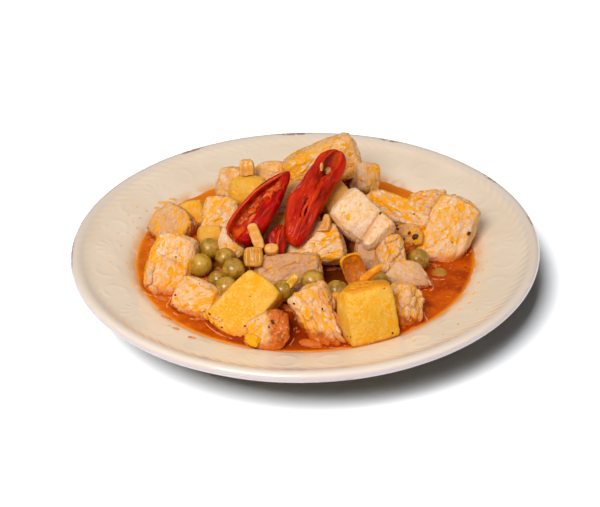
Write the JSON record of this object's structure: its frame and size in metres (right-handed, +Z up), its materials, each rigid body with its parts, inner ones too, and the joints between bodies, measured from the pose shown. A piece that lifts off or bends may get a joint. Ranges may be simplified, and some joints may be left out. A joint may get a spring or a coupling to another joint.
{
  "type": "chicken saute in a soup plate",
  "caption": "Plated main dish: cubes of chicken and potato, peas and halved red chilies heaped in orange sauce in a wide-rimmed soup plate.",
  "frame": {"origin": "centre of the plate's foot, on the table", "axes": "+Z up, +X to the diner's right, -Y towards the diner"},
  "size_m": [0.2098, 0.2098, 0.0606],
  "materials": {
    "plate_glaze": "cream glaze, satin to glossy, brown where it is worn along the lip",
    "sauce": "thin orange-red cooking liquor with oil, wet and glossy",
    "chicken": "poached white meat, moist, flecked with orange oil",
    "potato": "boiled yellow potato, slightly granular, moist",
    "pea": "cooked olive-green skin, smooth, some wrinkled",
    "chili": "deep red cooked skin, glossy, with a pale red inside",
    "onion": "soft translucent amber, ribbed",
    "carrot": "soft orange, wet"
  },
  "bodies": {
    "root": {"plate": "plate_glaze", "sauce": "sauce", "chicken_back_left": "chicken", "chicken_back_right": "chicken", "chicken_below_chili": "chicken", "chicken_centre": "chicken", "chicken_centre_left": "chicken", "chicken_far_left": "chicken", "chicken_far_middle": "chicken", "chicken_front_far_right": "chicken", "chicken_front_middle": "chicken", "chicken_front_small": "chicken", "chicken_inside_back": "chicken", "chicken_inside_left": "chicken", "chicken_inside_right": "chicken", "chicken_inside_top": "chicken", "chicken_left_back": "chicken", "chicken_left_front": "chicken", "chicken_left_round": "chicken", "chicken_peppered": "chicken", "chicken_right_flaky": "chicken", "chicken_right_inner": "chicken", "chicken_right_large": "chicken", "chicken_right_long": "chicken", "chicken_right_middle": "chicken", "chicken_right_top": "chicken", "chicken_right_wedge": "chicken", "chicken_top_back": "chicken", "chicken_under_chili": "chicken", "chicken_white_cube": "chicken", "potato_behind_chili": "potato", "potato_centre_left": "potato", "potato_front_left": "potato", "potato_front_right": "potato", "potato_left_back": "potato", "potato_scrap": "potato", "potato_shaded": "potato", "pea_left_back": "pea", "pea_left_front": "pea", "pea_left_hidden": "pea", "pea_left_low": "pea", "pea_left_middle": "pea", "pea_left_near": "pea", "pea_middle": "pea", "pea_middle_left": "pea", "pea_middle_right": "pea", "pea_right": "pea", "pea_sunk": "pea", "pea_wrinkled": "pea", "chili_half_left": "chili", "chili_half_right": "chili", "chili_scrap": "chili", "onion_on_chicken": "onion", "onion_on_chili": "onion", "onion_ribbed": "onion", "onion_skin": "onion", "onion_standing": "onion", "onion_yellow": "onion", "carrot_curl": "carrot", "carrot_strip": "carrot"}
  },
  "joints": []
}
